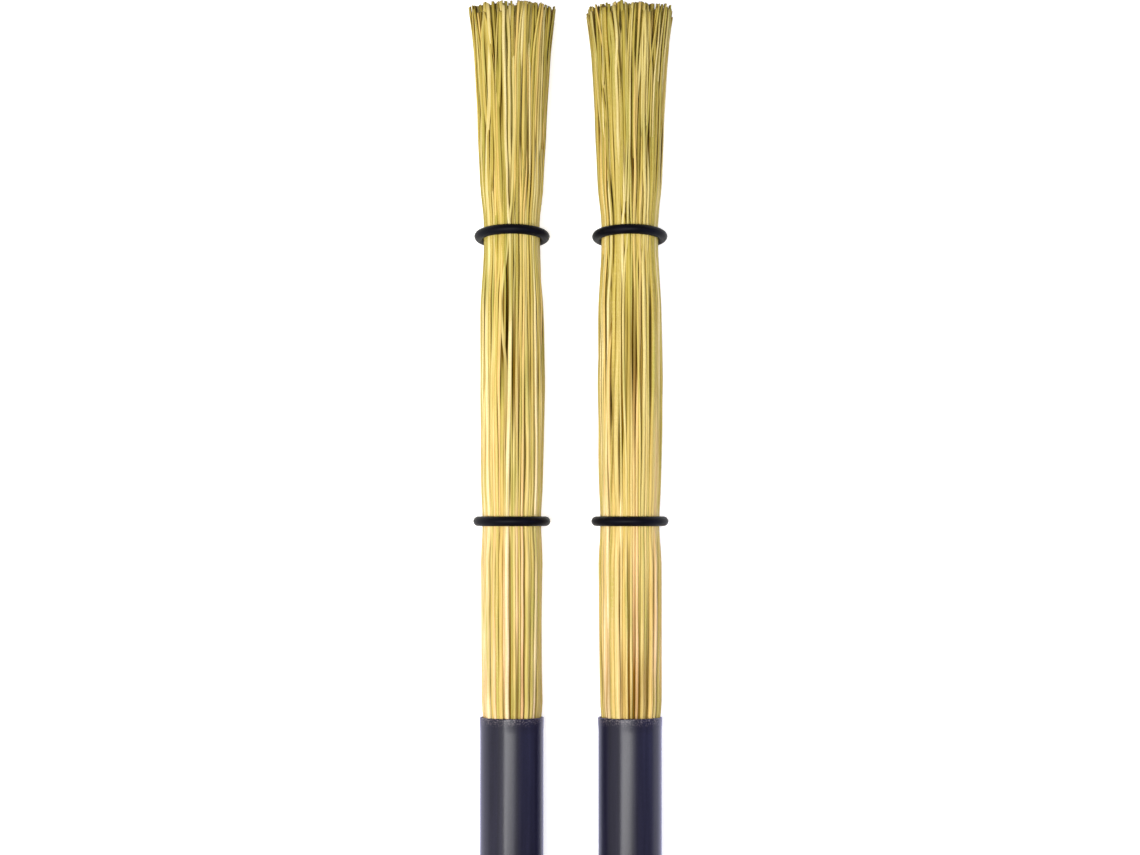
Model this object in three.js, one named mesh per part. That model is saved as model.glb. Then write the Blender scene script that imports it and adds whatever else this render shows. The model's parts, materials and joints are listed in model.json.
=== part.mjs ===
// A pair of straw drum brushes lying side by side on a flat surface.
// Millimetres, +Z up. Each brush lies along Y with its tips towards +Y.
// The origin is on the surface, below the middle of the pair.
import * as THREE from 'three';

// Whole brush. A distance along a brush is measured from its butt end.
const brushSpacing = 30.2;
const brushLength = 395;
const tipRadius = 11;

// Grip sleeve: a thin shrink tube, slightly flared at its mouth.
const sleeveStart = 2.4;
const sleeveMouth = 214;
const sleeveRadius = 8.1;
const sleeveBore = 7.55;
const mouthRadius = 8.25;
const mouthBore = 7.8;
const mouthFlareLength = 4;

// Butt cap: a cup pushed over the sleeve's end.
const capRadius = 9;
const capLength = 15;
const capBore = 8.4;
const capFloor = 2;
const capEndRadius = 6.5;
const capEdge = 2.5;
const capLipChamfer = 0.3;

// Dowel and the two twine bindings, inside the handle.
const dowelRadius = 1.9;
const dowelLength = 197;
const bindingBore = 6.85;
const bindingRadius = 7.25;
const bindingLength = 8;
const bindingRib = 0.12;
const bindingStarts = { rear_binding: 28, front_binding: 186 };

// O-rings.
const ringSection = 1.25; // radius of the rubber
const rings = {
  lower_ring: { distance: 264, centreRadius: 8.6, lean: 0 },
  upper_ring: { distance: 337, centreRadius: 8.4, lean: THREE.MathUtils.degToRad(8.5) },
};

// Straw bundle: its outer radius at each distance along the brush.
const strawStart = 4;
const bundleProfile = [
  [strawStart, 6.5],
  [200, 6.5],
  [212, 7.4],
  [218, 7.8],
  [254, 7.8],
  [262, 7.05],
  [266, 7.05],
  [272, 7.55],
  [282, 7.85],
  [299, 8.2],
  [320, 7.8],
  [333, 6.8],
  [341, 6.8],
  [349, 7.85],
  [368, 8.6],
  [384, 9.7],
  [brushLength, tipRadius],
];
const centreStart = 200;

// Straw layers, as shares of the bundle's radius, with room between neighbours.
const outerCount = 12;
const outerLayer = { inside: 0.69, corner: 0.94, valley: 0.955 };
const innerCount = 6;
const innerLayer = { inside: 0.34, corner: 0.6, crest: 0.62 };
const centreShare = 0.27;
const centreSides = 8;
const outerFill = 0.93; // share of its sector's angle that an outer tuft fills
const innerFill = 0.92;

// The tufts are cut raggedly at the tips, by up to this much.
const raggedCut = 2.6;
const raggedTurn = 2.4;
const restingTuft = 6; // the tuft on the underside, which reaches the full length

// Roundness of the turned pieces.
const turnedSides = 24;
const ringSides = 24;
const ringSectionSides = 8;

const finishes = {
  straw: { color: 0xd6b96c, roughness: 0.7 },
  innerStraw: { color: 0xb0954c, roughness: 0.8 },
  sleeve: { color: 0x3a3a4c, roughness: 0.45 },
  cap: { color: 0x26262c, roughness: 0.6 },
  ring: { color: 0x121214, roughness: 0.5 },
  wood: { color: 0xc49a63, roughness: 0.7 },
  twine: { color: 0xcfc6ae, roughness: 0.9 },
};

function addPart(group, name, geometry, finish) {
  const material = new THREE.MeshStandardMaterial({ ...finishes[finish], metalness: 0 });
  const mesh = new THREE.Mesh(geometry, material);
  mesh.name = name;
  group.add(mesh);
  return mesh;
}

// A turned solid about the brush's axis, from [radius, distance] points.
function turned(points, sides = turnedSides) {
  return new THREE.LatheGeometry(points.map(([radius, y]) => new THREE.Vector2(radius, y)), sides);
}

function closedLoop(points) {
  return [...points, points[0]];
}

// A point of a straw outline, from a share of the bundle's radius and an angle.
function polar(share, angle) {
  return new THREE.Vector2(share * Math.cos(angle), share * Math.sin(angle));
}

// A straw tuft: its outline, at unit bundle radius, is extruded with one step per station,
// and each step is then moved to its station and scaled to the bundle's radius there.
function tuft(outline, start, end) {
  const inside = bundleProfile.filter(([y]) => y > start && y < end);
  const stations = [[start, bundleRadius(start)], ...inside, [end, bundleRadius(end)]];
  const steps = stations.length - 1;
  const shape = new THREE.Shape(outline);
  const geometry = new THREE.ExtrudeGeometry(shape, { depth: steps, steps, bevelEnabled: false });
  const position = geometry.getAttribute('position');
  for (let i = 0; i < position.count; i += 1) {
    const [y, radius] = stations[Math.round(position.getZ(i))];
    position.setXYZ(i, position.getY(i) * radius, y, position.getX(i) * radius);
  }
  geometry.computeVertexNormals();
  return geometry;
}

function bundleRadius(distance) {
  const after = bundleProfile.findIndex(([y]) => y >= distance);
  if (after === 0) return bundleProfile[0][1];
  const [y0, r0] = bundleProfile[after - 1];
  const [y1, r1] = bundleProfile[after];
  return THREE.MathUtils.mapLinear(distance, y0, y1, r0, r1);
}

// Three stems side by side on the outside, and a flat inside.
function outerOutline(index) {
  const half = Math.PI / outerCount;
  const middle = 2 * half * index;
  const edge = outerFill * half;
  const third = (2 * half) / 3;
  const { inside, corner, valley } = outerLayer;
  return [
    polar(corner, middle - edge),
    polar(1, middle - third),
    polar(valley, middle - third / 2),
    polar(1, middle),
    polar(valley, middle + third / 2),
    polar(1, middle + third),
    polar(corner, middle + edge),
    polar(inside, middle + edge * corner),
    polar(inside, middle - edge * corner),
  ];
}

function innerOutline(index) {
  const half = Math.PI / innerCount;
  const middle = 2 * half * index;
  const edge = innerFill * half;
  const { inside, corner, crest } = innerLayer;
  return [
    polar(corner, middle - edge),
    polar(crest, middle),
    polar(corner, middle + edge),
    polar(inside, middle + edge * crest / corner - 0.1),
    polar(inside, middle),
    polar(inside, middle - edge * crest / corner + 0.1),
  ];
}

function centreOutline() {
  return Array.from({ length: centreSides }, (_, i) => polar(centreShare, (2 * Math.PI * i) / centreSides));
}

// Where tuft number index is cut. The resting tuft keeps the full length.
function cutDistance(index) {
  return brushLength - (raggedCut / 2) * (1 - Math.cos(raggedTurn * (index - restingTuft)));
}

function sleeveGeometry() {
  const flareStart = sleeveMouth - mouthFlareLength;
  return turned(closedLoop([
    [sleeveBore, sleeveStart],
    [sleeveRadius, sleeveStart],
    [sleeveRadius, flareStart],
    [mouthRadius, sleeveMouth],
    [mouthBore, sleeveMouth],
    [sleeveBore, flareStart],
  ]));
}

function capGeometry() {
  const edgeSteps = 4;
  const edge = [];
  for (let i = 0; i <= edgeSteps; i += 1) {
    const angle = (Math.PI / 2) * (i / edgeSteps);
    edge.push([
      capEndRadius + (capRadius - capEndRadius) * Math.sin(angle),
      capEdge * (1 - Math.cos(angle)),
    ]);
  }
  return turned([
    [0, 0],
    ...edge,
    [capRadius, capLength - capLipChamfer],
    [capRadius - capLipChamfer, capLength],
    [capBore, capLength],
    [capBore, capFloor],
    [0, capFloor],
  ]);
}

function dowelGeometry() {
  return turned([
    [0, sleeveStart],
    [dowelRadius, sleeveStart],
    [dowelRadius, dowelLength],
    [0, dowelLength],
  ], 16);
}

// A band of twine, ribbed by its turns.
function bindingGeometry(start) {
  const turns = 4;
  const pitch = bindingLength / turns;
  const ribs = [];
  for (let turn = 0; turn < turns; turn += 1) {
    ribs.push([bindingRadius - bindingRib, start + turn * pitch]);
    ribs.push([bindingRadius, start + (turn + 0.5) * pitch]);
  }
  return turned(closedLoop([
    [bindingBore, start],
    ...ribs,
    [bindingRadius - bindingRib, start + bindingLength],
    [bindingBore, start + bindingLength],
  ]));
}

function ringGeometry(centreRadius) {
  const section = [];
  for (let i = 0; i < ringSectionSides; i += 1) {
    const angle = (2 * Math.PI * i) / ringSectionSides;
    section.push([centreRadius + ringSection * Math.cos(angle), ringSection * Math.sin(angle)]);
  }
  return turned(closedLoop(section), ringSides);
}

function buildBrush(side) {
  const brush = new THREE.Group();
  const named = (piece) => `${side}_${piece}`;

  addPart(brush, named('grip_sleeve'), sleeveGeometry(), 'sleeve');
  addPart(brush, named('butt_cap'), capGeometry(), 'cap');
  addPart(brush, named('core_dowel'), dowelGeometry(), 'wood');
  for (const [piece, start] of Object.entries(bindingStarts)) {
    addPart(brush, named(piece), bindingGeometry(start), 'twine');
  }

  for (const [piece, { distance, centreRadius, lean }] of Object.entries(rings)) {
    const ring = addPart(brush, named(piece), ringGeometry(centreRadius), 'ring');
    ring.position.y = distance;
    ring.rotation.x = -lean;
  }

  for (let i = 0; i < outerCount; i += 1) {
    const name = named(`outer_straw_${String(i + 1).padStart(2, '0')}`);
    addPart(brush, name, tuft(outerOutline(i), strawStart, cutDistance(i)), 'straw');
  }
  for (let i = 0; i < innerCount; i += 1) {
    const name = named(`inner_straw_${i + 1}`);
    addPart(brush, name, tuft(innerOutline(i), strawStart, cutDistance(i + 1)), 'innerStraw');
  }
  const centreEnd = brushLength - raggedCut;
  addPart(brush, named('centre_straw'), tuft(centreOutline(), centreStart, centreEnd), 'innerStraw');
  return brush;
}

// Each brush rests on its butt cap and on the flared tips, so it leans up a little to the tips.
const restingAngle = Math.atan((tipRadius - capRadius) / (brushLength - capEdge));
const axisHeightAtButt = capRadius * Math.cos(restingAngle) - capEdge * Math.sin(restingAngle);

const pair = new THREE.Group();
for (const [side, sign] of [['left', -1], ['right', 1]]) {
  const brush = buildBrush(side);
  brush.position.set((sign * brushSpacing) / 2, -brushLength / 2, axisHeightAtButt);
  brush.rotation.x = restingAngle;
  pair.add(brush);
}

export default pair;
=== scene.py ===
"""Looks for a pair of straw drum brushes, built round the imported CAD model.

Metres, in the CAD model's frame. The pair lies flat: each brush runs along +Y to its tips.
"""
import json
import math

import bpy
import numpy as np
from mathutils import Matrix, Vector


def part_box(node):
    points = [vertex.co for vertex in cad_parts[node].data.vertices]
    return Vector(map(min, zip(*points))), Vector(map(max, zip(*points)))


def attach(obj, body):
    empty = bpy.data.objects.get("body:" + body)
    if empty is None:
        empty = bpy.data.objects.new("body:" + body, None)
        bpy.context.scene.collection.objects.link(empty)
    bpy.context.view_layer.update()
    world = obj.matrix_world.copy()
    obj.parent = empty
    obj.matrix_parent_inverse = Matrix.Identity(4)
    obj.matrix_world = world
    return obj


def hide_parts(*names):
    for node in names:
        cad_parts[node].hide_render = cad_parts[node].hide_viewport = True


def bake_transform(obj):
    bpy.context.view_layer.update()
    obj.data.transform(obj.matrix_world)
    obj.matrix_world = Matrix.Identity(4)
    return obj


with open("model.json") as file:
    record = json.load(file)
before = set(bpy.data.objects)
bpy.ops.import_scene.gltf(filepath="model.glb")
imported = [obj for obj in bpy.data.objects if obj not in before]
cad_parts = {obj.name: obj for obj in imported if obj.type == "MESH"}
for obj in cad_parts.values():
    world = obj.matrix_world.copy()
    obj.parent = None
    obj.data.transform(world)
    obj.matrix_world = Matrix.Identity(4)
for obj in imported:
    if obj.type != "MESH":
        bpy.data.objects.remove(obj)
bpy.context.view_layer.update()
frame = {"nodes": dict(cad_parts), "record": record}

MM = 0.001


# ---------------------------------------------------------------- camera

CAMERA_DISTANCE = 0.768   # from the plane of the brushes' axes
CAMERA_LEFT = 0.22 * MM
LENS = 94.7
SENSOR_WIDTH = 36.0
VIEW_MIDDLE_PAST_RING = 0.024   # the view's middle, from the lower rings towards the tips


def add_camera():
    low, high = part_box("left_lower_ring")
    ring_height = (low.z + high.z) / 2
    ring_distance = (low.y + high.y) / 2
    eye = Vector((-CAMERA_LEFT, ring_distance, ring_height + CAMERA_DISTANCE))
    target = Vector((-CAMERA_LEFT, ring_distance + VIEW_MIDDLE_PAST_RING, ring_height))
    data = bpy.data.cameras.new("camera")
    data.lens = LENS
    data.sensor_width = SENSOR_WIDTH
    camera = bpy.data.objects.new("camera", data)
    bpy.context.scene.collection.objects.link(camera)
    back = (eye - target).normalized()
    right = Vector((1, 0, 0))
    up = back.cross(right)
    camera.matrix_world = Matrix.Translation(eye) @ Matrix((right, up, back)).transposed().to_4x4()
    bpy.context.scene.camera = camera


add_camera()


# ---------------------------------------------------------------- the brushes' own frames

MICROMETRE_PLACES = 6


def to_micrometre(length):
    """A length measured on a mesh, without the mesh's rounding error."""
    return round(float(length), MICROMETRE_PLACES)


class Brush:
    """One brush: its axis from the butt face, and its bundle's radius along that axis."""

    def __init__(self, side, seed):
        self.side = side
        self.seed = seed
        self.body = f"{side}_brush"
        mount = next(m for m in frame["record"]["mounts"] if m["name"] == f"{side}_butt_face")
        across = Vector((1, 0, 0))
        along = -Vector(mount["axis"]).normalized()
        axes = Matrix((across, along, across.cross(along))).transposed().to_4x4()
        self.place = Matrix.Translation(Vector(mount["pos_m"])) @ axes
        self.to_local = self.place.inverted()
        self.straw_nodes = [n for n in frame["nodes"] if n.startswith(side) and "straw" in n]
        sleeve = self.local_points(f"{side}_grip_sleeve")
        self.mouth = sleeve[:, 1].max()
        self.bore = np.hypot(sleeve[:, 0], sleeve[:, 2]).min()
        self.lower = self.middle(f"{side}_lower_ring")
        self.upper = self.middle(f"{side}_upper_ring")
        self.halfway = (self.lower + self.upper) / 2
        dowel = self.local_points(f"{side}_core_dowel")
        self.dowel_radius = to_micrometre(np.hypot(dowel[:, 0], dowel[:, 2]).max())
        self.dowel_end = to_micrometre(dowel[:, 1].max())
        self.profile = self.bundle_profile()
        self.tip = self.profile[0][-1]

    def local_points(self, node):
        place = np.array(self.to_local)
        points = np.array([v.co for v in frame["nodes"][node].data.vertices])
        return points @ place[:3, :3].T + place[:3, 3]

    def middle(self, node):
        along = self.local_points(node)[:, 1]
        return (along.min() + along.max()) / 2

    def bundle_profile(self):
        """Distances along the brush, and the straw's outer radius at each."""
        found = {}
        for node in self.straw_nodes:
            if "outer" in node:
                for x, y, z in self.local_points(node):
                    station = round(y / MM, 1)
                    found[station] = max(found.get(station, 0), math.hypot(x, z))
        stations = sorted(found)
        return np.array(stations) * MM, np.array([found[s] for s in stations])

    def point(self, distance):
        return self.place @ Vector((0, distance, 0))


PROFILE_STEP = 0.5 * MM
PROFILE_SMOOTHING = 1.6 * MM
PROFILE_REACH = 3   # how many smoothings wide the smoothing kernel is, on each side


def smooth_profile(brush):
    """The bundle's radius as a smooth table over an even grid of distances."""
    stations, radii = brush.profile
    grid = np.arange(0, brush.tip + PROFILE_STEP, PROFILE_STEP)
    values = np.interp(grid, stations, radii)
    reach = int(PROFILE_REACH * PROFILE_SMOOTHING / PROFILE_STEP)
    offsets = np.arange(-reach, reach + 1) * PROFILE_STEP
    kernel = np.exp(-0.5 * (offsets / PROFILE_SMOOTHING) ** 2)
    kernel /= kernel.sum()
    tail = values[-1] + (values[-1] - values[-2]) * np.arange(1, reach + 1)
    padded = np.concatenate([np.full(reach, values[0]), values, tail])
    return grid, np.convolve(padded, kernel, "valid")


# ---------------------------------------------------------------- straw

# Layers of stems. The radius is at the sleeve's mouth, and the share is of the bundle's radius.
# Thick stems lie inside the bundle and thin ones outside. Side branches show only at the tips.
INNER = {"count": 60, "radius": (0.5 * MM, 0.8 * MM), "share": (0.0, 0.68), "sides": 6}
OUTER = {"count": 142, "radius": (0.28 * MM, 0.74 * MM), "share": (0.7, 1.0), "sides": 8}
BRANCH = {"count": 150, "radius": (0.24 * MM, 0.5 * MM), "share": (0.25, 1.0), "sides": 6}
STEM_COUNT = INNER["count"] + OUTER["count"]

# Thickness along a stem.
MOSTLY_THIN = (1.4, 2.2)            # beta distribution of the radii between a layer's two limits
TIP_TAPER = 0.86                    # a stem's radius at its tip, as a share of that at the mouth
HANDLE_SQUEEZE = 0.8                # stems are pressed thinner by the bindings
SWELL = 0.06
SWELL_PERIOD = (18 * MM, 40 * MM)
BRANCH_START = (1 * MM, 22 * MM)    # past the upper ring
BRANCH_GROWTH = 12 * MM             # the length over which a branch reaches its full radius
THINNEST = 0.05 * MM                # a branch thinner than this isn't there yet
THINNEST_SHOWN = 0.06 * MM

# The bundle's outline.
FULLNESS = 0.34 * MM                # the straw fills the room that the CAD tufts leave to their neighbours
FULL_PAST_RING = 20 * MM            # where the fullness starts to fade, past the upper ring
RING_BULGE = 0.13 * MM
BULGE_REACH = 8 * MM
BEFORE_MOUTH = 4 * MM               # the bundle widens from here, inside the sleeve,
PAST_MOUTH = 5 * MM                 # to here, outside it
SLEEVE_FILL = 8 * MM                # past the dowel's end the straw fills the sleeve over this length

# Stations along a stem, where it has a ring of points.
SETTLE_STEP = 9 * MM
HANDLE_STEP = 24 * MM
POINTS_PER_STEP = 3
HIDDEN_BEND = 15 * MM               # how far inside the sleeve's mouth the straw's handle length ends
SAME_PLACE = 1e-7                   # distances closer than this are the same station

# How stems stray from straight lines.
WANDER = 0.2 * MM
RING_WANDER = 0.6 * MM
TIP_WANDER = 1.0 * MM
WANDER_LENGTHS = (160 * MM, 75 * MM, 36 * MM)
LOOSE_PAST_MOUTH = 20 * MM          # stems wander more from here on
HELD_BEFORE_MOUTH = 30 * MM         # the sleeve holds stems straight before here,
HELD_PAST_MOUTH = 15 * MM           # and lets go of them by here
RIPPLE = ((26 * MM, 0.02 * MM), (64 * MM, 0.07 * MM), (120 * MM, 0.24 * MM))   # wavelengths and sizes
RIPPLE_PAST_RING = 30 * MM          # the ripple is full from here on, past the upper ring
STRAYS = {"middle": 3, "tips": 14}
STRAY_TURN = (0.08, 0.2)            # how far a stray goes round the bundle, in radians
STRAY_LIFT = 0.7                    # how far it rises over its neighbours, as a share of its radius
STRAY_FROM = 0.8                    # strays lie outside this share of the bundle's radius

# Pushing stems apart.
RELAX_ROUNDS = 44
EASED_ROUNDS = 8                    # the last rounds only push stems apart
STEM_CONTACT = 0.97                 # stems touch at this share of their radii's sum
PUSH = 0.42                         # how much of an overlap each of the two stems gives way by
STRAIGHTENING = 0.5                 # how far a point moves to the middle of the two beside it
LEAST_ROOM = 0.1 * MM               # from the axis, for a stem as thick as the bundle

# Tips.
LONGEST_PAST_TIP = 1.4 * MM
CUT_BACK = 2.8 * MM                 # the most that a stem is cut short
CUT_BACK_POWER = 1.6                # above 1, most stems are cut only a little
OUTSIDE_CUT = 0.4 * MM              # how much lower the bundle's rim is cut than its middle
OUTSIDE_CUT_POWER = 4
TIP_BEND = 0.5 * MM
TIP_BEND_REACH = (8 * MM, 26 * MM)
TIP_ROOM = 0.5 * MM                 # how far stems may stand out at the tips, away from the floor

# A stem's section and its cut end, as shares of its radius.
FLATNESS = (0.02, 0.2)
LOBES = 0.05
CUT_DEPTH = 0.15
CUT_RIM = 0.7
CUT_SLANT = 0.5
STEM_NUMBERS = 1000                 # more than the stems of a brush, so that no two share a number


def straw_ends(brush):
    """Where the straw is cut into lengths: from butt end to tips."""
    start = brush.profile[0][0]
    return [start, brush.mouth - HIDDEN_BEND, brush.lower, brush.halfway, brush.upper, brush.tip]


def stem_stations(brush):
    """Distances at which every stem has a ring of points: closer together where they show."""
    ends = straw_ends(brush)
    stations = [[ends[0]]]
    for low, high in zip(ends, ends[1:]):
        step = HANDLE_STEP if low == ends[0] else SETTLE_STEP
        steps = POINTS_PER_STEP * math.ceil((high - low) / step)
        stations.append(np.linspace(low, high, steps + 1)[1:])
    return np.concatenate(stations)


def smoothstep(value, low, high):
    t = np.clip((value - low) / (high - low), 0, 1)
    return t * t * (3 - 2 * t)


def stem_radii(brush, stations, random):
    thickness = []
    for kind in (INNER, OUTER):
        low, high = kind["radius"]
        thickness.append(low + (high - low) * random.beta(*MOSTLY_THIN, kind["count"]))
    radii = np.concatenate(thickness)[:, None]
    taper = 1 - (1 - TIP_TAPER) * smoothstep(stations, brush.mouth, brush.tip)
    handle = 1 - (1 - HANDLE_SQUEEZE) * (1 - smoothstep(stations, brush.dowel_end, brush.mouth))
    phase = random.uniform(0, 2 * math.pi, (STEM_COUNT, 1))
    period = random.uniform(*SWELL_PERIOD, (STEM_COUNT, 1))
    swell = 1 + SWELL * np.sin(2 * math.pi * stations / period + phase)
    stems = radii * taper * handle * swell
    start = brush.upper + random.uniform(*BRANCH_START, (BRANCH["count"], 1))
    grown = random.uniform(*BRANCH["radius"], (BRANCH["count"], 1))
    branches = grown * smoothstep(stations, start, start + BRANCH_GROWTH)
    return np.concatenate([stems, branches])


def wander(brush, stations, count, random):
    """A slow sideways drift for each stem, wider towards the tips."""
    drift = np.zeros((count, len(stations), 2))
    for wavelength in WANDER_LENGTHS:
        phase = random.uniform(0, 2 * math.pi, (count, 1, 2))
        size = random.normal(0, 1, (count, 1, 2)) * wavelength / WANDER_LENGTHS[0]
        drift += size * np.sin(2 * math.pi * stations[None, :, None] / wavelength + phase)
    loose = smoothstep(stations, brush.mouth + LOOSE_PAST_MOUTH, brush.upper)
    amount = WANDER + (RING_WANDER - WANDER) * loose
    amount += (TIP_WANDER - RING_WANDER) * smoothstep(stations, brush.upper, brush.tip)
    free = smoothstep(stations, brush.mouth - HELD_BEFORE_MOUTH, brush.mouth + HELD_PAST_MOUTH)
    return drift * (amount * free)[None, :, None]


def bundle_limit(brush, stations):
    """The bundle's outer radius at each station. Near its mouth the sleeve is full of straw,
    and the straw bulges up against the rings."""
    grid, bundle = smooth_profile(brush)
    fullness = FULLNESS * (1 - smoothstep(stations, brush.upper + FULL_PAST_RING, brush.tip))
    for ring in (brush.lower, brush.upper):
        fullness = fullness + RING_BULGE * np.exp(-((stations - ring) / BULGE_REACH) ** 2)
    limit = np.interp(stations, grid, bundle) + fullness
    flared = brush.mouth + PAST_MOUTH
    flare = smoothstep(stations, brush.mouth - BEFORE_MOUTH, flared)
    widest = np.interp(flared, grid, bundle) + FULLNESS
    in_sleeve = smoothstep(stations, brush.dowel_end, brush.dowel_end + SLEEVE_FILL)
    fill = in_sleeve * (brush.bore + (widest - brush.bore) * flare)
    return np.where(stations < flared, np.maximum(fill, limit * (1 - in_sleeve)), limit)


def first_spots(limit, random):
    """Where each stem starts from across the bundle: evenly spread, then jostled by settle."""
    share, angle = [], []
    for kind in (INNER, OUTER, BRANCH):
        low, high = kind["share"]
        order = random.permutation(kind["count"])
        share.append(np.sqrt(low ** 2 + (high ** 2 - low ** 2) * (order + 0.5) / kind["count"]))
        angle.append(math.pi * (3 - math.sqrt(5)) * order)
    share, angle = np.concatenate(share), np.concatenate(angle)
    direction = np.stack([np.cos(angle), np.sin(angle)], 1)
    return direction[:, None, :] * (share[:, None] * limit[None, :])[:, :, None]


def settle(brush, stations, radii, limit, random):
    """Stem centres at each station, pushed apart until the stems lie side by side."""
    count = len(radii)
    spots = first_spots(limit, random) + wander(brush, stations, count, random)
    there = radii > THINNEST
    touching = STEM_CONTACT * (radii[:, None, :] + radii[None, :, :])
    touching = touching * (there[:, None, :] & there[None, :, :])
    touching[np.arange(count), np.arange(count)] = 0
    touching = touching.astype(np.float32)
    low = np.where(stations < brush.dowel_end, brush.dowel_radius, 0.0)[None, :] + radii
    high = np.maximum(limit[None, :] - radii, LEAST_ROOM)
    low = np.minimum(low, high)
    for step in range(RELAX_ROUNDS):
        x, z = spots[:, :, 0].astype(np.float32), spots[:, :, 1].astype(np.float32)
        between_x, between_z = x[:, None] - x[None, :], z[:, None] - z[None, :]
        apart = np.sqrt(between_x ** 2 + between_z ** 2) + 1e-9
        push = PUSH * np.maximum(touching / apart - 1, 0)
        spots[:, :, 0] += (push * between_x).sum(1)
        spots[:, :, 1] += (push * between_z).sum(1)
        if step < RELAX_ROUNDS - EASED_ROUNDS:
            middle = 0.5 * (spots[:, 2:] + spots[:, :-2])
            spots[:, 1:-1] += STRAIGHTENING * (middle - spots[:, 1:-1])
        out = np.linalg.norm(spots, axis=2) + 1e-9
        spots *= (np.clip(out, low, high) / out)[:, :, None]
    return spots


def carried_between(stations, values, at):
    """Values given along axis 1 at the stations, carried by smooth curves (cubic Hermite) to others."""
    slope = np.gradient(values, stations, axis=1)
    k = np.clip(np.searchsorted(stations, at, side="right") - 1, 0, len(stations) - 2)
    step = stations[k + 1] - stations[k]
    t = ((at - stations[k]) / step)[None, :, None]
    step = step[None, :, None]
    before = (2 * t ** 3 - 3 * t ** 2 + 1) * values[:, k] + (t ** 3 - 2 * t ** 2 + t) * step * slope[:, k]
    value_after = (3 * t ** 2 - 2 * t ** 3) * values[:, k + 1]
    slope_after = (t ** 3 - t ** 2) * step * slope[:, k + 1]
    return before + value_after + slope_after


def bend_tips(brush, stations, spots, radii, limit, random):
    """Stem ends that curl a little out of line, and stay off what the brush lies on."""
    count = len(spots)
    reach = random.uniform(*TIP_BEND_REACH, (count, 1))
    size = random.normal(0, TIP_BEND, (count, 1, 2))
    amount = np.clip((stations[None, :] - brush.tip + reach) / reach, 0, 1) ** 2
    spots = spots + size * amount[:, :, None]
    out = np.linalg.norm(spots, axis=2) + 1e-9
    upward = 0.5 + 0.5 * spots[:, :, 1] / out
    room = limit[None, :] - radii + TIP_ROOM * upward * smoothstep(stations, brush.upper, brush.tip)
    return spots * (np.minimum(out, room) / out)[:, :, None]


def ripple(brush, stations, count, random):
    """Crooks and slants in the stems, which open and close the gaps between them."""
    drift = np.zeros((count, len(stations), 2))
    for wavelength, usual in RIPPLE:
        phase = random.uniform(0, 2 * math.pi, (count, 1, 2))
        size = random.normal(0, usual, (count, 1, 2))
        drift += size * np.sin(2 * math.pi * stations[None, :, None] / wavelength + phase)
    return drift * smoothstep(stations, brush.mouth, brush.upper + RIPPLE_PAST_RING)[None, :, None]


def stray(brush, stations, spots, radii, limit, random):
    """A few outer stems cross over their neighbours, in the middle length or at the tips."""
    ends = {"middle": (brush.halfway, brush.upper), "tips": (brush.upper, brush.tip)}
    k = np.searchsorted(stations, brush.lower)
    out = np.linalg.norm(spots[:, k], axis=1)
    outer = np.flatnonzero((out > STRAY_FROM * limit[k]) & (np.arange(len(spots)) < STEM_COUNT))
    chosen = list(random.permutation(outer))
    for part, count in STRAYS.items():
        low, high = ends[part]
        share = np.clip((stations - low) / (high - low), 0, 1)
        over = smoothstep(share, 0, 0.5) if part == "tips" else np.sin(math.pi * share) ** 2
        for i in [chosen.pop() for _ in range(count)]:
            turn = random.uniform(*STRAY_TURN) * random.choice([-1, 1])
            swing = turn * (smoothstep(share, 0.1, 1) if part == "tips" else over)
            lift = 1 + STRAY_LIFT * radii[i] * over / limit
            x, z = spots[i, :, 0].copy(), spots[i, :, 1].copy()
            spots[i, :, 0] = lift * (np.cos(swing) * x + np.sin(swing) * z)
            spots[i, :, 1] = lift * (np.cos(swing) * z - np.sin(swing) * x)
    return spots


def grow_straw(brush):
    """All the stems of one brush, as centrelines and radii over the same stations."""
    random = np.random.default_rng(brush.seed)
    stations = stem_stations(brush)
    radii = stem_radii(brush, stations, random)
    limit = bundle_limit(brush, stations)
    sparse = slice(None, None, POINTS_PER_STEP)
    settled = settle(brush, stations[sparse], radii[:, sparse], limit[sparse], random)
    shares = settled / limit[None, sparse, None]
    spots = carried_between(stations[sparse], shares, stations) * limit[None, :, None]
    spots += ripple(brush, stations, len(radii), random)
    spots = stray(brush, stations, spots, radii, limit, random)
    spots = bend_tips(brush, stations, spots, radii, limit, random)
    count = len(radii)
    rim = np.linalg.norm(spots[:, -1], axis=1) / limit[-1]
    cut = CUT_BACK * random.uniform(0, 1, count) ** CUT_BACK_POWER
    cut += OUTSIDE_CUT * np.minimum(rim, 1) ** OUTSIDE_CUT_POWER
    return {
        "stations": stations, "radii": radii, "spots": spots, "limit": limit,
        "end": brush.tip + LONGEST_PAST_TIP - cut,
        "twist": random.uniform(0, 2 * math.pi, count),
        "flat": random.uniform(*FLATNESS, count),
    }


def stem_sides(i):
    if i < INNER["count"]:
        return INNER["sides"]
    return OUTER["sides"] if i < STEM_COUNT else BRANCH["sides"]


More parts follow.
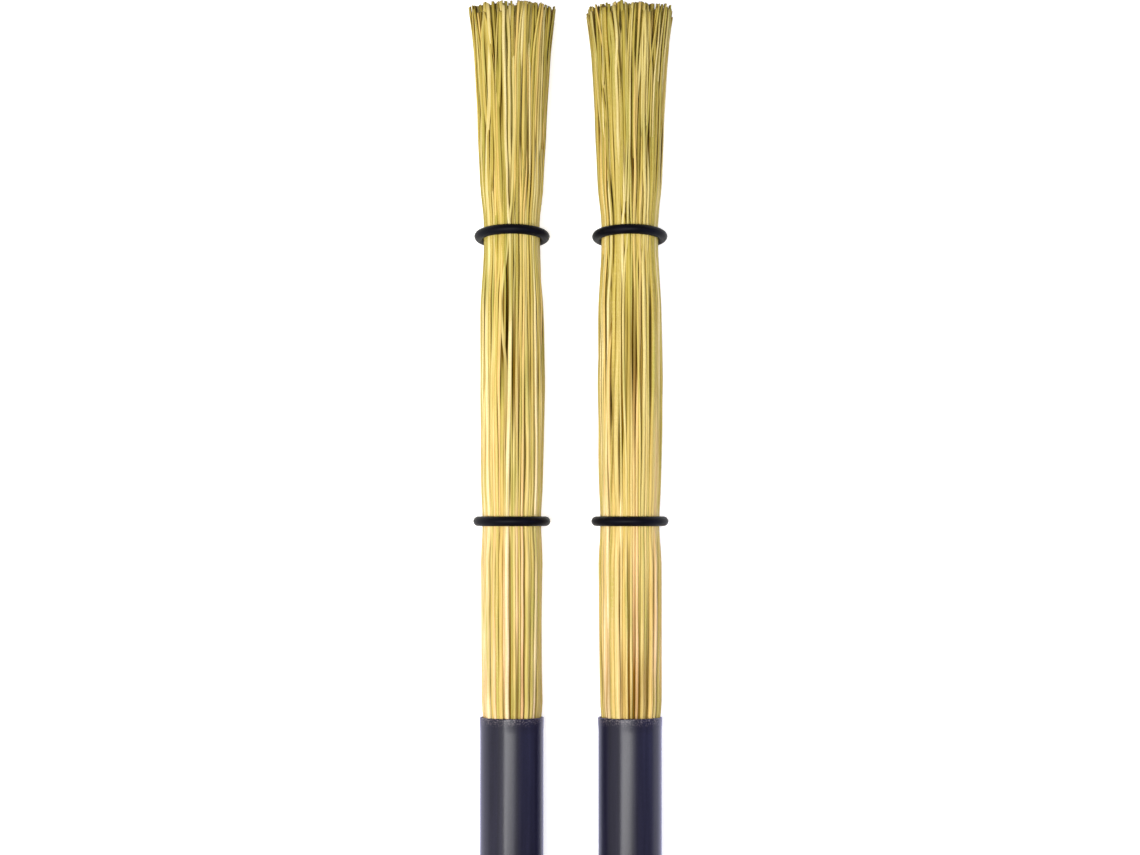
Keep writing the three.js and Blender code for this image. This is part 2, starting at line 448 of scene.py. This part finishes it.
class StrawMesh:
    """Collects closed tubes and their attributes into one mesh."""

    def __init__(self, brush, straw):
        self.brush = brush
        self.straw = straw
        self.points = []
        self.grain = []
        self.stem = []
        self.depth = []
        self.pith = []
        self.crest = []
        self.faces = []
        self.caps = []
        self.count = 0

    def add_stem(self, i, low, high):
        """Stem i between two distances. At the brush's tips it ends where it was cut."""
        straw = self.straw
        stations = straw["stations"]
        below_tips = low < self.brush.upper - SAME_PLACE
        hidden = high < self.brush.mouth or (i < INNER["count"] and below_tips)
        chosen = np.flatnonzero((stations > low - SAME_PLACE) & (stations < high + SAME_PLACE))
        if hidden:
            chosen = chosen[::POINTS_PER_STEP]
        if i >= STEM_COUNT:
            chosen = chosen[straw["radii"][i, chosen] > THINNEST_SHOWN]
        at_tip = high > self.brush.tip - SAME_PLACE
        at, centre, radius = stations[chosen], straw["spots"][i, chosen], straw["radii"][i, chosen]
        depth = np.linalg.norm(centre, axis=1) / straw["limit"][chosen]
        if at_tip:
            at = at[0] + (at - at[0]) * (straw["end"][i] - at[0]) / (at[-1] - at[0])
        self.add_tube(i, at, centre, radius, depth, at_tip)

    def add_tube(self, i, at, centre, radius, depth, at_tip):
        twist, flat = self.straw["twist"][i], self.straw["flat"][i]
        sides = stem_sides(i)
        angles = 2 * math.pi * np.arange(sides) / sides
        shape = 1 + flat * np.cos(2 * angles + twist) + LOBES * np.cos(3 * angles + 2 * twist)
        pith = np.zeros(len(at))
        if at_tip:
            # The cut end is a little hollow.
            at = np.append(at, at[-1] - CUT_DEPTH * radius[-1])
            centre = np.vstack([centre, centre[-1:]])
            radius = np.append(radius, CUT_RIM * radius[-1])
            depth = np.append(depth, depth[-1])
            pith = np.append(pith, 1)
        rings = len(at)
        across = radius[:, None] * shape[None, :]
        x = across * np.sin(angles)
        z = across * np.cos(angles)
        y = np.repeat(at[:, None], sides, 1)
        if at_tip:
            y[-2:] += CUT_SLANT * radius[-2] * np.cos(angles + twist)
        self.points.append(np.stack([centre[:, :1] + x, y, centre[:, 1:] + z], 2).reshape(-1, 3))
        self.grain.append(np.stack([x, y, z], 2).reshape(-1, 3) / MM)
        self.stem.append(np.full(rings * sides, i + STEM_NUMBERS * self.brush.seed))
        self.depth.append(np.repeat(depth, sides))
        self.pith.append(np.repeat(pith, sides))
        # How far each point faces out of the bundle. The straw material uses this to paint shade on the
        # sides that face in.
        outward = centre / (np.linalg.norm(centre, axis=1, keepdims=True) + 1e-9)
        crest = (x * outward[:, :1] + z * outward[:, 1:]) / (np.hypot(x, z) + 1e-9)
        self.crest.append(crest.ravel())
        row = self.count + sides * np.arange(rings - 1)[:, None]
        here = np.arange(sides)[None, :]
        after = (here + 1) % sides
        quads = np.stack([row + here, row + after, row + sides + after, row + sides + here], 2)
        self.faces += quads.reshape(-1, 4).tolist()
        last = self.count + sides * (rings - 1)
        self.caps += [len(self.faces), len(self.faces) + 1]
        self.faces.append(list(range(self.count + sides - 1, self.count - 1, -1)))
        self.faces.append(list(range(last, last + sides)))
        self.count += rings * sides

    def object(self, name):
        mesh = bpy.data.meshes.new(name)
        mesh.from_pydata(np.concatenate(self.points).tolist(), [], self.faces)
        mesh.transform(self.brush.place)
        smooth = np.ones(len(self.faces), bool)
        smooth[self.caps] = False
        mesh.polygons.foreach_set("use_smooth", smooth)
        for label in ("stem", "depth", "pith", "crest"):
            values = getattr(self, label)
            layer = mesh.attributes.new(label, "FLOAT", "POINT")
            layer.data.foreach_set("value", np.concatenate(values).astype(np.float32))
        layer = mesh.attributes.new("grain", "FLOAT_VECTOR", "POINT")
        layer.data.foreach_set("vector", np.concatenate(self.grain).astype(np.float32).ravel())
        sharpen(mesh, self.caps)
        piece = bpy.data.objects.new(name, mesh)
        bpy.context.scene.collection.objects.link(piece)
        return piece


def sharpen(mesh, faces):
    """Keeps the edges round the given faces crisp."""
    sharp = np.zeros(len(mesh.edges), bool)
    for face in faces:
        for loop in mesh.polygons[face].loop_indices:
            sharp[mesh.loops[loop].edge_index] = True
    layer = mesh.attributes.new("sharp_edge", "BOOLEAN", "EDGE")
    layer.data.foreach_set("value", sharp)


# ---------------------------------------------------------------- materials

def new_material(name):
    material = bpy.data.materials.new(name)
    material.use_nodes = True
    tree = material.node_tree
    shader = tree.nodes["Principled BSDF"]
    return material, tree, shader


def node(tree, kind, links=(), **values):
    """A shader node. values set its properties, or its input sockets by name."""
    made = tree.nodes.new(kind)
    for key, value in values.items():
        if hasattr(made, key):
            setattr(made, key, value)
        else:
            made.inputs[key.replace("_", " ")].default_value = value
    for socket, source in links:
        tree.links.new(source, made.inputs[socket])
    return made


def srgb(red, green, blue):
    def linear(c):
        c = c / 255
        return c / 12.92 if c <= 0.04045 else ((c + 0.055) / 1.055) ** 2.4
    return (linear(red), linear(green), linear(blue), 1)


def ramp(tree, source, stops, interpolation="LINEAR"):
    made = tree.nodes.new("ShaderNodeValToRGB")
    made.color_ramp.interpolation = interpolation
    elements = made.color_ramp.elements
    while len(elements) > 1:
        elements.remove(elements[-1])
    elements[0].position = stops[0][0]
    elements[0].color = stops[0][1]
    for position, colour in stops[1:]:
        elements.new(position).color = colour
    tree.links.new(source, made.inputs["Fac"])
    return made.outputs["Color"]


def attribute(tree, name, output):
    made = tree.nodes.new("ShaderNodeAttribute")
    made.attribute_name = name
    return made.outputs[output]


def mix(tree, kind, factor, a, b):
    made = tree.nodes.new("ShaderNodeMix")
    made.data_type = "RGBA"
    made.blend_type = kind
    for socket, value in (("Factor", factor), ("A", a), ("B", b)):
        target = next(s for s in made.inputs if s.name == socket and s.enabled)
        if isinstance(value, bpy.types.NodeSocket):
            tree.links.new(value, target)
        else:
            target.default_value = value
    return next(s for s in made.outputs if s.enabled)


def grey(value):
    return (value, value, value, 1)


def object_space(tree):
    return node(tree, "ShaderNodeTexCoord").outputs["Object"]


def noise(tree, space, scale, detail, stretch=None):
    """A noise texture over a space, whose axes can be scaled first."""
    if stretch:
        space = node(tree, "ShaderNodeMapping", [("Vector", space)], Scale=stretch).outputs[0]
    return node(tree, "ShaderNodeTexNoise", [("Vector", space)], Scale=scale, Detail=detail).outputs["Fac"]


def set_roughness(tree, shader, source, low, high):
    rough = node(tree, "ShaderNodeMapRange", [("Value", source)], To_Min=low, To_Max=high)
    tree.links.new(rough.outputs[0], shader.inputs["Roughness"])


def set_bump(tree, shader, height, strength, distance):
    bump = node(tree, "ShaderNodeBump", [("Height", height)], Strength=strength, Distance=distance)
    tree.links.new(bump.outputs[0], shader.inputs["Normal"])


def straw_material():
    material, tree, shader = new_material("straw")
    grain = attribute(tree, "grain", "Vector")
    stem = attribute(tree, "stem", "Fac")
    depth = attribute(tree, "depth", "Fac")
    pith = attribute(tree, "pith", "Fac")
    along = node(tree, "ShaderNodeSeparateXYZ", [("Vector", grain)])
    brush = brushes[0]
    place = node(tree, "ShaderNodeMapRange", [("Value", along.outputs["Y"])],
                 From_Min=brush.mouth / MM, From_Max=brush.tip / MM)

    # Each stem's own colour, of eight: creamier near the handle, greener at the tips.
    pick = node(tree, "ShaderNodeTexWhiteNoise", [("W", stem)], noise_dimensions="1D")
    near_handle = ramp(tree, pick.outputs["Value"], [
        (0.00, srgb(230, 204, 138)),
        (0.14, srgb(220, 196, 122)),
        (0.28, srgb(241, 206, 158)),
        (0.42, srgb(206, 188, 110)),
        (0.56, srgb(244, 220, 176)),
        (0.68, srgb(226, 194, 120)),
        (0.80, srgb(196, 180, 100)),
        (0.90, srgb(243, 202, 150)),
    ], "CONSTANT")
    at_tips = ramp(tree, pick.outputs["Value"], [
        (0.00, srgb(206, 186, 104)),
        (0.14, srgb(228, 211, 140)),
        (0.28, srgb(186, 168, 82)),
        (0.42, srgb(216, 194, 108)),
        (0.56, srgb(240, 224, 164)),
        (0.68, srgb(196, 176, 84)),
        (0.80, srgb(176, 160, 80)),
        (0.90, srgb(232, 202, 124)),
    ], "CONSTANT")
    tipward = ramp(tree, place.outputs[0], [(0.1, grey(0.0)), (0.6, grey(1.0))])
    tone = mix(tree, "MIX", tipward, near_handle, at_tips)

    # Each stem's own place in the noise, stretched along the stem.
    offset = node(tree, "ShaderNodeCombineXYZ",
                  [("X", pick.outputs["Color"]), ("Z", pick.outputs["Value"])])
    shift = node(tree, "ShaderNodeVectorMath", [(0, offset.outputs[0])], operation="SCALE", Scale=400.0)
    moved = node(tree, "ShaderNodeVectorMath", [(0, grain), (1, shift.outputs[0])], operation="ADD")
    fibres = noise(tree, moved.outputs[0], 1.6, 3.0, stretch=(3.2, 0.05, 3.2))
    patches = noise(tree, moved.outputs[0], 1.0, 2.0, stretch=(0.5, 0.035, 0.5))
    fibre_shade = ramp(tree, fibres, [(0.3, srgb(202, 182, 108)), (0.62, grey(1.0))])
    colour = mix(tree, "MULTIPLY", 0.7, tone, fibre_shade)
    green = ramp(tree, patches, [(0.5, grey(0.0)), (0.74, grey(0.9))])
    colour = mix(tree, "MIX", green, colour, srgb(166, 158, 70))

    # Darker towards the tips. Painted shade: darker where no light reaches between the stems, and on each
    # stem's sides that face into the bundle. Cut ends are brown.
    shade = ramp(tree, place.outputs[0], [
        (0.00, srgb(250, 250, 250)),
        (0.45, srgb(252, 252, 252)),
        (0.75, srgb(238, 237, 228)),
        (1.00, srgb(228, 227, 214)),
    ])
    colour = mix(tree, "MULTIPLY", 1.0, colour, shade)
    # Painted shade on the stems that lie deeper in the bundle.
    painted_gap_shade = ramp(tree, depth, [(0.72, srgb(62, 46, 0)), (0.82, srgb(142, 118, 28)), (0.89, grey(1.0))])
    deep_shade = ramp(tree, place.outputs[0], [(0.9, grey(1.0)), (0.985, grey(0.25))])
    colour = mix(tree, "MULTIPLY", deep_shade, colour, painted_gap_shade)
    crest = attribute(tree, "crest", "Fac")
    # Painted shade on each stem's sides that face into the bundle: dark lines between the stems.
    side = ramp(tree, crest, [(0.0, srgb(92, 70, 0)), (0.3, srgb(206, 188, 94)), (0.54, grey(1.0))])
    side_shade = ramp(tree, place.outputs[0], [(0.0, grey(0.22)), (0.35, grey(0.5)), (0.7, grey(0.85))])
    colour = mix(tree, "MULTIPLY", side_shade, colour, side)
    colour = mix(tree, "MIX", pith, colour, srgb(158, 134, 74))
    tree.links.new(colour, shader.inputs["Base Color"])

    gloss = node(tree, "ShaderNodeMapRange", [("Value", depth)], From_Min=0.76, From_Max=0.92,
                 To_Min=0.02, To_Max=0.13)
    tree.links.new(gloss.outputs[0], shader.inputs["Specular IOR Level"])
    set_roughness(tree, shader, fibres, 0.4, 0.58)
    set_bump(tree, shader, fibres, 0.35, 0.1 * MM)
    return material


def sleeve_material():
    """Shrunk plastic tube: dark, half glossy, with faint lines drawn along it."""
    material, tree, shader = new_material("sleeve")
    space = object_space(tree)
    streaks = noise(tree, space, 1.0, 4.0, stretch=(900, 30, 900))
    speckle = noise(tree, space, 2600.0, 2.0)
    colour = ramp(tree, streaks, [(0.3, srgb(22, 20, 34)), (0.7, srgb(32, 30, 46))])
    dust = ramp(tree, speckle, [(0.45, grey(0.8)), (0.7, grey(1.0))])
    colour = mix(tree, "MULTIPLY", 0.8, colour, dust)
    # Pale specks along the cut edge of the mouth.
    near_mouth = ramp(tree, attribute(tree, "from_mouth", "Fac"), [(0.2, grey(0.45)), (1.0, grey(0.0))])
    specks = ramp(tree, speckle, [(0.5, grey(0.0)), (0.62, grey(1.0))])
    specked = mix(tree, "MULTIPLY", 1.0, near_mouth, specks)
    colour = mix(tree, "MIX", specked, colour, srgb(128, 118, 120))
    tree.links.new(colour, shader.inputs["Base Color"])
    shader.inputs["Specular IOR Level"].default_value = 0.23
    shader.inputs["Sheen Weight"].default_value = 0.4
    shader.inputs["Sheen Roughness"].default_value = 0.36
    shader.inputs["Sheen Tint"].default_value = (0.16, 0.16, 0.8, 1)
    set_roughness(tree, shader, streaks, 0.27, 0.35)
    set_bump(tree, shader, speckle, 0.25, 0.05 * MM)
    return material


def rubber_material(name, dark, light, roughness):
    material, tree, shader = new_material(name)
    space = object_space(tree)
    cloud = noise(tree, space, 420.0, 4.0)
    grit = noise(tree, space, 3400.0, 2.0)
    colour = ramp(tree, cloud, [(0.35, dark), (0.68, light)])
    tree.links.new(colour, shader.inputs["Base Color"])
    shader.inputs["Specular IOR Level"].default_value = 0.08
    set_roughness(tree, shader, cloud, roughness - 0.08, roughness + 0.1)
    set_bump(tree, shader, grit, 0.3, 0.05 * MM)
    return material


def wood_material():
    material, tree, shader = new_material("dowel")
    grain = noise(tree, object_space(tree), 1.0, 5.0, stretch=(1400, 40, 1400))
    colour = ramp(tree, grain, [(0.3, srgb(176, 132, 82)), (0.65, srgb(214, 176, 124))])
    tree.links.new(colour, shader.inputs["Base Color"])
    set_roughness(tree, shader, grain, 0.55, 0.75)
    set_bump(tree, shader, grain, 0.3, 0.1 * MM)
    return material


def twine_material():
    material, tree, shader = new_material("twine")
    wave = node(tree, "ShaderNodeTexWave", [("Vector", object_space(tree))], bands_direction="DIAGONAL",
                Scale=420.0, Distortion=1.5, Detail=2.0)
    twist = wave.outputs["Fac"]
    colour = ramp(tree, twist, [(0.2, srgb(166, 156, 132)), (0.8, srgb(224, 216, 194))])
    tree.links.new(colour, shader.inputs["Base Color"])
    set_roughness(tree, shader, twist, 0.75, 0.95)
    set_bump(tree, shader, twist, 0.5, 0.2 * MM)
    return material


# ---------------------------------------------------------------- turned pieces

def turned_mesh(name, place, rings, sides, bump_out=None, closed=False):
    """A surface of revolution about place's Y axis, from (radius, distance) rings.
    bump_out(angle, distance) moves a point outwards. An open profile is closed by its end faces."""
    points = []
    for radius, y in rings:
        for k in range(sides):
            angle = 2 * math.pi * k / sides
            r = radius + (bump_out(angle, y) if bump_out else 0)
            points.append((r * math.sin(angle), y, r * math.cos(angle)))
    faces = []
    count = len(rings)
    for i in range(count if closed else count - 1):
        a, b = i * sides, ((i + 1) % count) * sides
        for k in range(sides):
            n = (k + 1) % sides
            faces.append((a + k, a + n, b + n, b + k))
    if not closed:
        faces.append(tuple(reversed(range(sides))))
        faces.append(tuple((count - 1) * sides + k for k in range(sides)))
    mesh = bpy.data.meshes.new(name)
    mesh.from_pydata(points, [], faces)
    mesh.polygons.foreach_set("use_smooth", np.ones(len(faces), bool))
    mesh.transform(place)
    piece = bpy.data.objects.new(name, mesh)
    bpy.context.scene.collection.objects.link(piece)
    return piece


def arc(centre, radius, start, stop, steps):
    """Points of an arc in the (radius, distance) plane. Angles are in degrees."""
    found = []
    for i in range(steps + 1):
        angle = math.radians(start + (stop - start) * i / steps)
        found.append((centre[0] + radius * math.cos(angle), centre[1] + radius * math.sin(angle)))
    return found


TURNED_SIDES = 160
ON_FACE = 0.05 * MM   # points this close to an end face or to the axis are on it

SLEEVE_WALL = 0.42 * MM
SLEEVE_EDGE = 0.3 * MM      # the rounding of the sleeve's hidden end
SLEEVE_BEVEL = 0.1 * MM
SLEEVE_RIDGE = 0.018 * MM
RIDGE_COUNTS = (5, 7, 11, 13, 17, 23)   # ridges round the sleeve, a wave for each count
RIDGE_SIZE = (0.4, 1.0)
RIDGE_SLOPE = 9             # the most that a wave's phase changes along the sleeve, in radians a metre
SPECKED_LENGTH = 2.2 * MM


def sleeve_sizes(brush):
    """The CAD sleeve's straight radius, mouth radius, start and mouth, and the length of its flare."""
    points = brush.local_points(f"{brush.side}_grip_sleeve")
    out, along = np.hypot(points[:, 0], points[:, 2]), points[:, 1]
    start, mouth = along.min(), along.max()
    straight = out[along < start + ON_FACE].max()
    flare = along[(np.abs(out - straight) < ON_FACE) & (along < mouth - ON_FACE)].max()
    return to_micrometre(straight), out.max(), start, mouth, to_micrometre(mouth - flare)


def add_sleeve(brush):
    body_radius, radius, start, mouth, lip = sleeve_sizes(brush)
    random = np.random.default_rng(brush.seed + 5)
    waves = [(k, random.uniform(0, 2 * math.pi), random.uniform(*RIDGE_SIZE),
              random.uniform(-RIDGE_SLOPE, RIDGE_SLOPE)) for k in RIDGE_COUNTS]

    def ridge(angle, y):
        level = sum(size * math.sin(k * angle + phase + slope * y) for k, phase, size, slope in waves)
        return SLEEVE_RIDGE * level / 2

    flare_start = mouth - lip
    inner_radius = body_radius - SLEEVE_WALL
    outside = [(body_radius, y) for y in np.linspace(start + SLEEVE_EDGE, flare_start, 60)]
    flare = [(body_radius + (radius - body_radius) * smoothstep(t, 0, 1), flare_start + lip * t)
             for t in np.linspace(0.1, 0.93, 8)]
    edge = arc((radius - SLEEVE_WALL / 2, mouth - SLEEVE_WALL / 2), SLEEVE_WALL / 2, 0, 180, 6)
    bore = [(r - SLEEVE_WALL, y) for r, y in reversed(flare)]
    inside = [(inner_radius, y) for y in np.linspace(flare_start, start + SLEEVE_EDGE, 12)]
    foot = [(inner_radius, start), (body_radius - SLEEVE_BEVEL, start)]
    rings = outside + flare + edge + bore + inside + foot
    name = f"{brush.side}_sleeve_skin"
    piece = turned_mesh(name, brush.place, rings, TURNED_SIDES, ridge, closed=True)
    from_mouth = np.repeat([(mouth - y) / SPECKED_LENGTH for _, y in rings], TURNED_SIDES)
    layer = piece.data.attributes.new("from_mouth", "FLOAT", "POINT")
    layer.data.foreach_set("value", from_mouth.astype(np.float32))
    piece.data.materials.append(materials["sleeve"])
    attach(piece, brush.body)
    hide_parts(f"{brush.side}_grip_sleeve")


RING_SIDES = 112
RING_SECTION_SIDES = 28
MOULD_LINE = 0.035 * MM


def add_ring(brush, name):
    """A rubber ring in place of its coarser CAD node, with a fine mould line outside and inside."""
    node_name = f"{brush.side}_{name}"
    points = np.array([v.co for v in frame["nodes"][node_name].data.vertices])
    centre = (points.min(0) + points.max(0)) / 2
    normal = np.linalg.svd(points - centre, full_matrices=False)[2][2]
    normal = Vector(normal if normal[1] > 0 else -normal)
    across = Vector((1, 0, 0))
    axes = Matrix((across, normal, across.cross(normal))).transposed().to_4x4()
    place = Matrix.Translation(Vector(centre)) @ axes
    local = (points - centre) @ np.array(axes)[:3, :3]
    section = np.abs(local[:, 1]).max()
    ring_radius = np.hypot(local[:, 0], local[:, 2]).max() - section
    rings = []
    for k in range(RING_SECTION_SIDES):
        angle = 2 * math.pi * k / RING_SECTION_SIDES
        r = section + (MOULD_LINE if k % (RING_SECTION_SIDES // 2) == 0 else 0)
        rings.append((ring_radius + r * math.cos(angle), r * math.sin(angle)))
    piece = turned_mesh(f"{node_name}_rubber", place, rings, RING_SIDES, closed=True)
    piece.data.materials.append(materials["ring"])
    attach(piece, node_name)
    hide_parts(node_name)


CAP_DISH = 0.06 * MM    # how hollow the end face is
CAP_LIP = 0.35 * MM
CAP_INNER_LIP = 0.2 * MM
CAP_BAND = (1 * MM, 0.4 * MM)    # the straight outside starts and stops this far from the roundings
CAP_BORE_LEAD = 1 * MM
CAP_FILLET = (0.3 * MM, 0.6 * MM)
CAP_MIDDLE = 0.4 * MM


def add_cap(brush):
    """The rubber cap on the butt end: a cup with a rounded edge."""
    points = brush.local_points(f"{brush.side}_butt_cap")
    out, along = np.hypot(points[:, 0], points[:, 2]), points[:, 1]
    radius, length = out.max(), along.max()
    disc = out[along < ON_FACE].max()
    edge = radius - disc
    floor = to_micrometre(along[out < ON_FACE].max())
    bore = out[along > length - ON_FACE].min()
    band = np.linspace(edge + CAP_BAND[0], length - CAP_LIP - CAP_BAND[1], 8)
    cup = np.linspace(length - CAP_BORE_LEAD, floor + CAP_FILLET[1], 6)
    rings = [(disc * t, CAP_DISH * (1 - t) ** 2) for t in (0.06, 0.3, 0.6, 0.9, 1)]
    rings += arc((radius - edge, edge), edge, -84, 0, 12)
    rings += [(radius, y) for y in band]
    rings += arc((radius - CAP_LIP, length - CAP_LIP), CAP_LIP, 0, 90, 5)
    rings += arc((bore + CAP_INNER_LIP, length - CAP_INNER_LIP), CAP_INNER_LIP, 90, 180, 4)
    rings += [(bore, y) for y in cup]
    rings += [(bore - CAP_FILLET[0], floor), (bore / 2, floor), (CAP_MIDDLE, floor)]
    piece = turned_mesh(f"{brush.side}_cap_rubber", brush.place, rings, TURNED_SIDES)
    piece.data.materials.append(materials["cap"])
    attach(piece, brush.body)
    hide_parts(f"{brush.side}_butt_cap")


TWINE_TURNS = 14
TWINE_SIDES = 96
TWINE_ARC = (0.5, 1.1, 1.6, 2.1, 2.7)   # angles of the points over the outside of each turn


def add_binding(brush, name):
    """Twine wound tightly round the straw inside the sleeve, in place of its plain CAD band."""
    node_name = f"{brush.side}_{name}"
    points = brush.local_points(node_name)
    out = np.hypot(points[:, 0], points[:, 2])
    low, high = points[:, 1].min(), points[:, 1].max()
    twine = (high - low) / TWINE_TURNS / 2
    middle = (out.min() + out.max()) / 2
    thick = (out.max() - out.min()) / 2
    rings = []
    for k in range(TWINE_TURNS):
        centre = low + twine * (2 * k + 1)
        rings += [(middle + thick * math.sin(a), centre - twine * math.cos(a)) for a in TWINE_ARC]
    rings += [(out.min(), y) for y in np.linspace(high - twine / 2, low + twine / 2, 8)]
    piece = turned_mesh(f"{node_name}_twine", brush.place, rings, TWINE_SIDES, closed=True)
    piece.data.materials.append(materials["twine"])
    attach(piece, brush.body)
    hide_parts(node_name)


# ---------------------------------------------------------------- pieces

GROUPS = ("core", "right", "left", "top", "under")
CORE_SHARE = 0.5   # of the bundle's radius


def group_of(straw, i):
    """The part of the bundle that a stem belongs to, by where it lies about half way to the tips."""
    k = len(straw["stations"]) * 2 // 3
    x, z = straw["spots"][i, k]
    if math.hypot(x, z) < CORE_SHARE * straw["limit"][k]:
        return "core"
    if abs(x) > abs(z):
        return "right" if x > 0 else "left"
    return "top" if z > 0 else "under"


def straw_lengths(brush):
    """Each length of straw: its name, its ends, and the bodies at its two ends."""
    lower_ring, upper_ring = f"{brush.side}_lower_ring", f"{brush.side}_upper_ring"
    ends = straw_ends(brush)
    names = ("handle", "mouth", "lower", "middle", "tips")
    at_start = (brush.body, brush.body, lower_ring, brush.body, upper_ring)
    at_end = (brush.body, lower_ring, brush.body, upper_ring, brush.body)
    return zip(names, ends, ends[1:], at_start, at_end)


def add_straw(brush):
    straw = grow_straw(brush)
    members = {group: [] for group in GROUPS}
    for i in range(len(straw["radii"])):
        members[group_of(straw, i)].append(i)
    for part, low, high, body_a, body_b in straw_lengths(brush):
        for group in GROUPS:
            builder = StrawMesh(brush, straw)
            for i in members[group]:
                if i < STEM_COUNT or part == "tips":
                    builder.add_stem(i, low, high)
            piece = builder.object(f"{brush.side}_straw_{part}_{group}")
            piece.data.materials.append(materials["straw"])
            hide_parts(*brush.straw_nodes)
            if body_a == body_b:
                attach(piece, body_a)
            else:
                brush.point(low)
                brush.point(high)
                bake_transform(piece)


brushes = [Brush("left", 37), Brush("right", 23)]
materials = {
    "straw": straw_material(),
    "sleeve": sleeve_material(),
    "cap": rubber_material("cap", srgb(24, 24, 30), srgb(36, 35, 43), 0.55),
    "ring": rubber_material("ring", srgb(3, 3, 8), srgb(8, 7, 17), 0.5),
    "dowel": wood_material(),
    "twine": twine_material(),
}
for brush in brushes:
    add_straw(brush)
    add_sleeve(brush)
    add_cap(brush)
    for name in ("lower_ring", "upper_ring"):
        add_ring(brush, name)
    for name in ("rear_binding", "front_binding"):
        add_binding(brush, name)
    dowel = frame["nodes"][f"{brush.side}_core_dowel"]
    dowel.data.materials.clear()
    dowel.data.materials.append(materials["dowel"])


# ---------------------------------------------------------------- floor and light

FLOOR_HALF = 3.0


def add_floor():
    mesh = bpy.data.meshes.new("floor")
    corners = [(x * FLOOR_HALF, y * FLOOR_HALF, 0) for x, y in ((-1, -1), (1, -1), (1, 1), (-1, 1))]
    mesh.from_pydata(corners, [], [(0, 1, 2, 3)])
    floor = bpy.data.objects.new("floor", mesh)
    bpy.context.scene.collection.objects.link(floor)
    material, _, shader = new_material("floor")
    shader.inputs["Base Color"].default_value = (0.8, 0.8, 0.8, 1)
    shader.inputs["Roughness"].default_value = 0.9
    shader.inputs["Emission Color"].default_value = (1, 1, 1, 1)
    shader.inputs["Emission Strength"].default_value = 0.5
    mesh.materials.append(material)


def add_light(name, place, target, size, power, colour=(1, 1, 1)):
    """A soft rectangular light: its size in metres across and along, and its power in watts."""
    data = bpy.data.lights.new(name, "AREA")
    data.shape = "RECTANGLE"
    data.size, data.size_y = size
    data.energy = power
    data.color = colour
    light = bpy.data.objects.new(name, data)
    bpy.context.scene.collection.objects.link(light)
    light.location = place
    light.rotation_euler = (Vector(target) - Vector(place)).to_track_quat("-Z", "Y").to_euler()


def add_world():
    world = bpy.data.worlds.new("world")
    bpy.context.scene.world = world
    world.use_nodes = True
    background = world.node_tree.nodes["Background"]
    background.inputs["Color"].default_value = (1, 1, 1, 1)
    background.inputs["Strength"].default_value = 0.3


add_floor()
add_light("key", place=(-0.92, 0.06, 0.5), target=(0, 0.06, 0), size=(1.1, 1.6), power=5.4)
add_light("top", place=(-0.17, -0.02, 0.98), target=(0, 0.04, 0), size=(0.16, 0.8), power=12.4)
add_light("rim", place=(0.45, 0.06, 0.07), target=(0, 0.06, 0.01), size=(0.14, 1.2), power=1.6,
          colour=(0.3, 0.36, 1))
add_world()
bpy.context.scene.view_settings.view_transform = "Standard"
